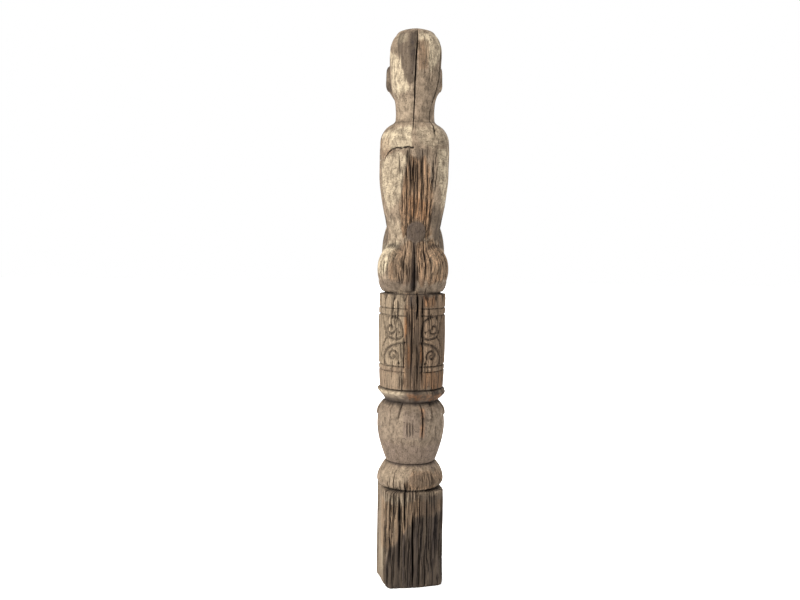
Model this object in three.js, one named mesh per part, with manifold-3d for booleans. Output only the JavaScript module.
// Guardian pole statue: a squatting figure on a carved drum, a jar and a square post,
// all cut from one weathered hardwood log. Millimetres, +Z up, the face looks along -Y.

import * as THREE from "three";
import { mergeVertices } from "three/addons/utils/BufferGeometryUtils.js";
import Module from "manifold-3d";

const wasm = await Module();
wasm.setup();

const DEGREE = Math.PI / 180;
const SIDES = [-1, 1];

// Driving dimensions

const HEIGHT = 1250;
const POLE_COLUMNS = 32;
const FIGURE_COLUMNS = 32;
const STEP_EDGE = 1;
const MERGE_GAP = 0.001;
const WOOD_COLOUR = 0x8c7a63;

// Levels of the carved stages, from the ground up
const POST_TOP = 221;
const FOOT_LOW = 226;
const JAR_LOW = 280;
const CUP_LOW = 419;
const DRUM_LOW = 452;
const DRUM_TOP = 664;
const SEAT_LOW = 668;

// Square post, hewn a little out of line with the figure
const POST_HALF = 67.5;
const POST_SQUARENESS = 6;
const POST_TURN = 14 * DEGREE;
const POST_FOOT_EDGE = 5;
const POST_SHOULDER_LOW = 199;
const POST_SHOULDER = { inner: 73, reach: 20, steps: 3 };

// Deep saw lines between the stages: radius at the bottom of the cut
const FOOT_GROOVE_RADIUS = 62;
const RIM_GROOVE_RADIUS = 68;
const SEAT_GROOVE_RADIUS = 64;

// Round stages: level and radius of each turn of the profile
const FOOT_PROFILE = [[226, 70.5], [233, 75], [244, 75.3], [262, 69], [279, 58]];
const JAR_PROFILE = [[280, 56], [303, 64.4], [330, 72.1], [355, 76], [378, 76.2], [403, 72.4], [418, 61]];
const JAR_STEPS = 6;
const CUP_PROFILE = [[419, 57.5], [425, 63.5], [433, 70.5], [441, 77], [448.5, 75]];
const DRUM_PROFILE = [[452, 72], [491, 74.2], [560, 76], [640, 75.4], [664, 75.6]];

// Lines cut round the drum: level, half width and depth
const DRUM_LINES = [
  { z: 491, half: 1.6, depth: 2.2 },
  { z: 503, half: 2, depth: 3.2 },
  { z: 616.5, half: 2, depth: 3.2 },
  { z: 632, half: 1.6, depth: 2.2 },
];

// Row of pointed teeth under the drum's top edge, parted by sunk notches
const TEETH = { count: 18, first: 6 * DEGREE, width: 19, height: 19, depth: 3.8 };

// Scroll panel on the drum: one face on the back, a plainer one with fewer curls on the front
const PANEL_MIDDLE = 560;
const PANEL_FACES = [
  { phi: 0, curls: 2 },
  { phi: 180 * DEGREE, curls: 1 },
];
const SCROLL_CUT = { half: 2.3, depth: 2.6 };
const BEND_STEPS = 5;
const CURL_STEPS = 10;
const ARCH = { from: 12 * DEGREE, spring: 19 * DEGREE, lead: 0.1, span: 41 * DEGREE, low: -52, rise: 49 };
const BRACE = { cusp: 48 * DEGREE, span: 15 * DEGREE, top: 55, drop: 47 };
const CURLS = [
  { phi: 38 * DEGREE, level: -32, outer: 15, inner: 4, start: 200 * DEGREE, turn: -500 * DEGREE },
  { phi: 36 * DEGREE, level: 24, outer: 13, inner: 4, start: 160 * DEGREE, turn: 480 * DEGREE },
];
const POCKETS = [
  { phi: 47 * DEGREE, level: 54, width: 15, height: 13 },
  { phi: 54 * DEGREE, level: -54, width: 15, height: -12 },
];
const POCKET_DEPTH = 3;
const CUTTER_REACH = 3;

// Lugs on the jar's shoulder, each a flap that narrows downwards
const LUGS = { count: 6, first: 30 * DEGREE, top: 13, foot: 8, length: 31, level: 402, thick: 24, proud: 1 };

// Splits in the log that show from a step away: bearing, span, width and depth
const SPLITS = [
  { phi: 2 * DEGREE, low: 1040, high: 1260, width: 4, depth: 16, radius: 60 },
  { phi: -25 * DEGREE, low: 60, high: 226, width: 3.4, depth: 9, radius: 72 },
  { phi: -9 * DEGREE, low: 90, high: 226, width: 3.6, depth: 10, radius: 66 },
  { phi: 4 * DEGREE, low: -10, high: 170, width: 4.6, depth: 16, radius: 65 },
];

// Figure: half width, depth to the back, depth to the front and squareness of the back at each level
const FRONT_POWER = 2.1;
const FIGURE_STATIONS = [
  [668, 69, 60, 54, 2.4],
  [676, 74, 63, 56, 2.4],
  [700, 76, 63, 54, 2.35],
  [740, 69, 57, 50, 2.3],
  [790, 57.5, 51, 48, 2.3],
  [822, 62, 56, 50, 2.3],
  [857, 69.5, 61, 51, 2.4],
  [895, 75, 65, 49, 2.5],
  [945, 77, 67, 49, 2.6],
  [990, 77, 66, 51, 2.6],
  [1010, 75.5, 63.5, 51, 2.5],
  [1024, 69, 60, 49, 2.4],
  [1034, 60, 57, 47, 2.3],
  [1041, 49, 53, 43, 2.2],
  [1047, 44.4, 47.8, 41, 2.05],
  [1052, 43.7, 47.5, 40.5, 2],
  [1072, 43.4, 47.5, 40, 2],
  [1092, 45.6, 51, 46, 2],
  [1104, 49, 54, 55, 2.1],
  [1116, 52.5, 56.5, 58, 2.1],
  [1140, 55.5, 60, 59, 2.2],
  [1170, 57, 61, 60, 2.2],
  [1192, 57.8, 60, 59, 2.2],
  [1212, 56, 56.5, 55.5, 2.3],
  [1232, 46, 46, 46, 2.3],
  [1245, 31, 31, 31, 2.1],
  [1250, 13, 13, 13, 2],
];
const SEAT_SLICES = { from: 680, to: 792, steps: 7 };
const BACK_SLICES = { from: 820, to: 1010, steps: 5 };
const NECK_SLICES = [1024, 1034, 1041, 1047, 1072, 1092];
const HEAD_SLICES = { from: 1104, to: 1200, steps: 5 };
const CROWN_SLICES = [1216, 1232, 1243];
const FIGURE_SINK = 12;

// Rounded forms of the figure, mirrored left and right where x is not zero.
// Each is an ellipsoid: either along a bone from one end to the other, or square to the axes.
const BUTTOCK = { at: [39, 25, 718], half: [41, 43, 54] };
const LIMBS = [
  { name: "upper arm", from: [56, -12, 1008], to: [60, -24, 872], half: [20, 24] },
  { name: "forearm", from: [64, -20, 862], to: [26, -58, 864], half: [16, 18] },
  { name: "hand", at: [27, -60, 850], half: [15, 15, 21] },
  { name: "thigh", from: [52, 14, 726], to: [40, -42, 824], half: [24, 26] },
  { name: "shin", from: [38, -46, 826], to: [33, -46, 688], half: [19, 23] },
  { name: "foot", at: [32, -44, 678], half: [18, 30, 13] },
];
const FACE = [
  { name: "nose", from: [0, -54, 1180], to: [0, -65, 1142], half: [9, 9] },
  { name: "nostrils", at: [0, -59, 1142], half: [14, 11, 7] },
  { name: "eyelid", at: [22, -50, 1163], half: [13, 9, 7] },
  { name: "upper lip", at: [0, -55, 1124], half: [18, 10, 5] },
  { name: "lower lip", at: [0, -54, 1116], half: [14, 10, 5] },
  { name: "chin", at: [0, -45, 1104], half: [22, 16, 12] },
  { name: "ear on the split side", at: [55, -12, 1142], half: [8.5, 14, 28], sides: [-1] },
  { name: "ear on the sound side", at: [59, -12, 1142], half: [8.5, 14, 28], sides: [1] },
];
const SOCKET = { name: "eye socket", at: [23, -62, 1163], half: [17, 13, 12] };
const BONE_OVERSHOOT = 1.2;
const LIMB_FACETS = [10, 6];
const FACE_FACETS = [8, 6];
const RIM_SLOPE = 2.2;
const BUTTOCK_FILLET = 5;
const FILLET_SINK = 1.25;

// Sunk lines of the figure
const SEAT_CLEFT = { half: 12, depth: 11, low: 650, high: 800, ease: 40 };
const ARM_LINE = { phi: 63 * DEGREE, half: 9 * DEGREE, depth: 3, low: 846, high: 990, ease: 24 };

// Shared shapes

// Point at a bearing, a radius and a level. Bearing 0 is the middle of the figure's back.
function place(phi, radius, z) {
  return new THREE.Vector3(-radius * Math.sin(phi), radius * Math.cos(phi), z);
}

// A smooth curve through rows of numbers, the first of each row being the level.
function curveThrough(rows) {
  const levels = rows.map((row) => row[0]);
  const values = rows.flatMap((row) => row.slice(1));
  const curve = new THREE.CubicInterpolant(levels, values, rows[0].length - 1);
  return (z) => [...curve.evaluate(THREE.MathUtils.clamp(z, levels[0], levels.at(-1)))];
}

// Radius of a rounded square, 2 being the power of a plain oval.
function squaredOval(phi, wide, deep, power) {
  const across = Math.abs(Math.sin(phi)) / wide;
  const along = Math.abs(Math.cos(phi)) / deep;
  return (across ** power + along ** power) ** (-1 / power);
}

// The larger of two radii, with a fillet where they meet.
function softMax(a, b, fillet) {
  return (a + b + Math.hypot(a - b, fillet)) / 2;
}

// A cut's depth across its width: full at 0, nothing from 1 outwards.
function notchShape(offset) {
  return Math.max(0, 1 - Math.abs(offset));
}

// Turns a geometry into a manifold solid.
function solid(geometry) {
  const bare = geometry.clone();
  bare.deleteAttribute("normal");
  bare.deleteAttribute("uv");
  const merged = mergeVertices(bare, MERGE_GAP);
  const vertProperties = new Float32Array(merged.attributes.position.array);
  const triVerts = new Uint32Array(merged.index.array);
  return new wasm.Manifold(new wasm.Mesh({ numProp: 3, vertProperties, triVerts }));
}

// Turns a manifold solid back into a geometry.
function geometryOf(manifold) {
  const mesh = manifold.getMesh();
  const geometry = new THREE.BufferGeometry();
  geometry.setAttribute("position", new THREE.BufferAttribute(mesh.vertProperties, 3));
  geometry.setIndex(new THREE.BufferAttribute(mesh.triVerts, 1));
  geometry.computeVertexNormals();
  return geometry;
}

// A closed log whose radius at each bearing and level comes from a function.
function carvedLog(levels, columns, start, radiusAt) {
  const rows = levels.length - 1;
  const log = new THREE.CylinderGeometry(1, 1, rows, columns, rows, false, start);
  const position = log.attributes.position;
  const point = new THREE.Vector3();
  for (let i = 0; i < position.count; i += 1) {
    point.fromBufferAttribute(position, i);
    const z = levels[Math.round(point.y + rows / 2)];
    const phi = Math.atan2(point.x, point.z);
    const onAxis = point.x === 0 && point.z === 0;
    const carved = place(phi, onAxis ? 0 : radiusAt(phi, z), z);
    position.setXYZ(i, carved.x, carved.y, carved.z);
  }
  return log;
}

// Levels from one height to another in equal steps.
function evenLevels({ from, to, steps }) {
  return Array.from({ length: steps + 1 }, (_, i) => from + ((to - from) * i) / steps);
}

// The pole below the figure

const footRadius = curveThrough(FOOT_PROFILE);
const jarRadius = curveThrough(JAR_PROFILE);
const cupRadius = curveThrough(CUP_PROFILE);
const drumRadius = curveThrough(DRUM_PROFILE);

function postRadius(phi, z) {
  const square = squaredOval(phi - POST_TURN, POST_HALF, POST_HALF, POST_SQUARENESS);
  const worn = z < POST_FOOT_EDGE ? square - POST_FOOT_EDGE / 2 : square;
  const climb = (z - POST_SHOULDER_LOW) / (POST_TOP - POST_SHOULDER_LOW);
  if (climb <= 0) return worn;
  return Math.min(worn, POST_SHOULDER.inner + POST_SHOULDER.reach * Math.sqrt(1 - climb ** 2));
}

function drumRadiusAt(z) {
  const cut = DRUM_LINES.map((line) => line.depth * notchShape((z - line.z) / line.half));
  return drumRadius(z)[0] - Math.max(...cut);
}

function poleRadius(phi, z) {
  if (z <= POST_TOP) return postRadius(phi, z);
  if (z < FOOT_LOW) return FOOT_GROOVE_RADIUS;
  if (z < JAR_LOW) return footRadius(z)[0];
  if (z < CUP_LOW) return jarRadius(z)[0];
  if (z <= CUP_PROFILE.at(-1)[0]) return cupRadius(z)[0];
  if (z < DRUM_LOW) return RIM_GROOVE_RADIUS;
  return drumRadiusAt(z);
}

function poleLevels() {
  const lines = DRUM_LINES.flatMap(({ z, half }) => [z - half, z, z + half]);
  return [
    ...[0, POST_FOOT_EDGE],
    ...evenLevels({ from: POST_SHOULDER_LOW, to: POST_TOP, steps: POST_SHOULDER.steps }),
    ...[POST_TOP + STEP_EDGE, FOOT_LOW - STEP_EDGE],
    ...FOOT_PROFILE.map((row) => row[0]),
    ...evenLevels({ from: JAR_LOW, to: CUP_LOW - STEP_EDGE, steps: JAR_STEPS }),
    ...CUP_PROFILE.map((row) => row[0]),
    ...[CUP_PROFILE.at(-1)[0] + STEP_EDGE, DRUM_LOW - STEP_EDGE],
    ...[DRUM_LOW, ...lines, DRUM_TOP],
  ];
}

// Wedge that sinks a triangle into the drum. A negative height points it upwards.
function pocketCutter(phi, z, width, height, depth) {
  const outline = new THREE.Shape();
  outline.moveTo(-width / 2, 0);
  outline.lineTo(width / 2, 0);
  outline.lineTo(0, -height);
  const wedge = new THREE.ExtrudeGeometry(outline, { depth: depth * CUTTER_REACH, bevelEnabled: false });
  const turned = new THREE.Matrix4().makeRotationZ(phi);
  const floor = drumRadius(z)[0] - depth;
  const facing = new THREE.Matrix4().makeBasis(
    new THREE.Vector3(-1, 0, 0),
    new THREE.Vector3(0, 0, 1),
    new THREE.Vector3(0, 1, 0),
  );
  wedge.applyMatrix4(facing).translate(0, floor, z).applyMatrix4(turned);
  return solid(wedge);
}

// Sweep of a diamond section that cuts a V along a line drawn on the drum.
function grooveCutter({ line, steps }) {
  const points = evenLevels({ from: 0, to: 1, steps }).map((t) => {
    const { phi, level } = line(t);
    const z = PANEL_MIDDLE + level;
    return place(phi, drumRadius(z)[0], z);
  });
  const { half, depth } = SCROLL_CUT;
  const section = new THREE.Shape();
  section.moveTo(half, 0);
  section.lineTo(0, depth);
  section.lineTo(-half, 0);
  section.lineTo(0, -depth);
  const extrudePath = new THREE.CatmullRomCurve3(points);
  return solid(new THREE.ExtrudeGeometry(section, { steps, extrudePath }));
}

// The lines of one half of a panel face, as bearings and levels.
function scrollLines(face, side) {
  const bearing = (phi) => face.phi + side * phi;
  const archLine = (t) => {
    const quarter = (Math.max(0, t - ARCH.lead) / (1 - ARCH.lead)) * 90 * DEGREE;
    const level = ARCH.low + ARCH.rise * Math.cos(quarter);
    const lead = THREE.MathUtils.lerp(ARCH.from, ARCH.spring, Math.min(1, t / ARCH.lead));
    return { phi: bearing(lead + ARCH.span * Math.sin(quarter)), level };
  };
  const braceLine = (t) => {
    const quarter = t * 90 * DEGREE;
    const phi = bearing(BRACE.cusp + BRACE.span * Math.cos(quarter));
    return { phi, level: BRACE.top - BRACE.drop * Math.sin(quarter) };
  };
  const curlLines = CURLS.slice(0, face.curls).map((curl) => (t) => {
    const angle = curl.start + curl.turn * t;
    const reach = THREE.MathUtils.lerp(curl.outer, curl.inner, t);
    const across = (reach * Math.cos(angle)) / drumRadius(PANEL_MIDDLE)[0];
    return { phi: bearing(curl.phi + across), level: curl.level + reach * Math.sin(angle) };
  });
  const bends = [archLine, braceLine].map((line) => ({ line, steps: BEND_STEPS }));
  return [...bends, ...curlLines.map((line) => ({ line, steps: CURL_STEPS }))];
}

function drumCutters() {
  const cutters = [];
  for (let i = 0; i < TEETH.count; i += 1) {
    const phi = TEETH.first + (i * 2 * Math.PI) / TEETH.count;
    cutters.push(pocketCutter(phi, DRUM_TOP + STEP_EDGE, TEETH.width, TEETH.height, TEETH.depth));
  }
  for (const face of PANEL_FACES) {
    for (const side of SIDES) {
      cutters.push(...scrollLines(face, side).map(grooveCutter));
      for (const { phi, level, width, height } of POCKETS) {
        const z = PANEL_MIDDLE + level;
        cutters.push(pocketCutter(face.phi + side * phi, z, width, height, POCKET_DEPTH));
      }
    }
  }
  return cutters;
}

function jarLug(phi) {
  const outline = new THREE.Shape();
  outline.moveTo(-LUGS.top, LUGS.length / 2);
  outline.lineTo(-LUGS.foot, -LUGS.length / 2);
  outline.lineTo(LUGS.foot, -LUGS.length / 2);
  outline.lineTo(LUGS.top, LUGS.length / 2);
  const flap = new THREE.ExtrudeGeometry(outline, { depth: LUGS.thick, bevelEnabled: false });
  const high = jarRadius(LUGS.level + LUGS.length / 2)[0];
  const low = jarRadius(LUGS.level - LUGS.length / 2)[0];
  const lean = Math.atan2(low - high, LUGS.length);
  flap.translate(0, 0, -LUGS.thick + LUGS.proud);
  flap.rotateX(Math.PI / 2).rotateZ(Math.PI).rotateX(lean);
  flap.translate(0, jarRadius(LUGS.level)[0], LUGS.level).rotateZ(phi);
  return solid(flap);
}

// The figure

const stationAt = curveThrough(FIGURE_STATIONS);

// The matrix that takes a unit ball to an ellipsoid of the figure, on one side of it.
function ballMatrix(form, side) {
  const mirror = ([x, y, z]) => new THREE.Vector3(side * x, y, z);
  if (form.at) {
    return new THREE.Matrix4().setPosition(mirror(form.at)).scale(new THREE.Vector3(...form.half));
  }
  const from = mirror(form.from);
  const to = mirror(form.to);
  const along = to.clone().sub(from);
  const half = new THREE.Vector3(...form.half, (along.length() / 2) * BONE_OVERSHOOT);
  along.normalize();
  const across = new THREE.Vector3(0, 1, 0).cross(along).normalize();
  const basis = new THREE.Matrix4().makeBasis(across, along.clone().cross(across), along);
  return basis.setPosition(from.add(to).multiplyScalar(0.5)).scale(half);
}

// One rounded form as solids, two of them where it is mirrored.
function balls(form, facets) {
  const middle = (form.at ?? form.from)[0] === 0;
  const sides = form.sides ?? (middle ? [1] : SIDES);
  return sides.map((side) => {
    const ball = new THREE.SphereGeometry(1, ...facets).rotateX(Math.PI / 2);
    return solid(ball.applyMatrix4(ballMatrix(form, side)));
  });
}

const buttocks = SIDES.map((side) => ballMatrix(BUTTOCK, side).invert());

// How far out a level ray from the axis leaves a buttock, falling away steeply past its rim.
function buttockReach(toBall, phi, z) {
  const start = new THREE.Vector3(0, 0, z).applyMatrix4(toBall);
  const ray = place(phi, 1, z).applyMatrix4(toBall).sub(start);
  const pace = ray.length();
  const middle = -start.dot(ray) / pace ** 2;
  const miss = start.addScaledVector(ray, middle).length();
  if (miss < 1) return middle + Math.sqrt(1 - miss ** 2) / pace;
  return middle - (RIM_SLOPE * (miss - 1)) / pace;
}

// Depth taken off by the cleft of the seat and the lines between the arms and the back.
function figureCuts(phi, z, radius) {
  const fade = ({ low, high, ease }) => THREE.MathUtils.clamp(Math.min(z - low, high - z) / ease, 0, 1);
  const back = Math.cos(phi) > 0 ? radius * Math.sin(phi) : Infinity;
  const cleft = SEAT_CLEFT.depth * notchShape(back / SEAT_CLEFT.half) * fade(SEAT_CLEFT);
  const offset = (Math.abs(phi) - ARM_LINE.phi) / ARM_LINE.half;
  return cleft + ARM_LINE.depth * notchShape(offset) * fade(ARM_LINE);
}

function figureRadius(phi, z) {
  if (z < SEAT_LOW) return SEAT_GROOVE_RADIUS;
  const [wide, back, front, power] = stationAt(z);
  const behind = Math.cos(phi) > 0;
  let radius = behind ? squaredOval(phi, wide, back, power) : squaredOval(phi, wide, front, FRONT_POWER);
  for (const toBall of buttocks) {
    const reach = buttockReach(toBall, phi, z);
    if (reach > 0) radius = Math.max(radius, softMax(radius, reach, BUTTOCK_FILLET) - FILLET_SINK);
  }
  return radius - figureCuts(phi, z, radius);
}

function figureLevels() {
  return [
    ...[DRUM_TOP - FIGURE_SINK, SEAT_LOW - STEP_EDGE / 2, SEAT_LOW + STEP_EDGE],
    ...evenLevels(SEAT_SLICES),
    ...evenLevels(BACK_SLICES),
    ...NECK_SLICES,
    ...evenLevels(HEAD_SLICES),
    ...[...CROWN_SLICES, HEIGHT],
  ];
}

// Thin upright wedge along a split in the log.
function splitCutter({ phi, low, high, width, depth, radius }) {
  const outline = new THREE.Shape();
  outline.moveTo(-width, radius + depth);
  outline.lineTo(0, radius - depth);
  outline.lineTo(width, radius + depth);
  const wedge = new THREE.ExtrudeGeometry(outline, { depth: high - low, bevelEnabled: false });
  return solid(wedge.translate(0, 0, low).rotateZ(phi));
}

// The whole pole, one piece of wood

function carvedPole() {
  const start = POST_TURN + 45 * DEGREE;
  let pole = solid(carvedLog(poleLevels(), POLE_COLUMNS, start, poleRadius));
  drumCutters().forEach((cutter) => {
    pole = pole.subtract(cutter);
  });
  for (let i = 0; i < LUGS.count; i += 1) {
    pole = pole.add(jarLug(LUGS.first + (i * 2 * Math.PI) / LUGS.count));
  }
  return pole;
}

function carvedFigure() {
  let figure = solid(carvedLog(figureLevels(), FIGURE_COLUMNS, 0, figureRadius));
  balls(SOCKET, FACE_FACETS).forEach((hollow) => {
    figure = figure.subtract(hollow);
  });
  const limbs = LIMBS.flatMap((limb) => balls(limb, LIMB_FACETS));
  const features = FACE.flatMap((feature) => balls(feature, FACE_FACETS));
  [...limbs, ...features].forEach((form) => {
    figure = figure.add(form);
  });
  return figure;
}

function guardianPole() {
  let pole = carvedPole().add(carvedFigure());
  SPLITS.forEach((split) => {
    pole = pole.subtract(splitCutter(split));
  });
  return geometryOf(pole);
}

const weatheredWood = new THREE.MeshStandardMaterial({ color: WOOD_COLOUR, roughness: 0.9, metalness: 0 });
const guardian = new THREE.Mesh(guardianPole(), weatheredWood);
guardian.name = "guardian_pole";

const statue = new THREE.Group();
statue.add(guardian);

export default statue;
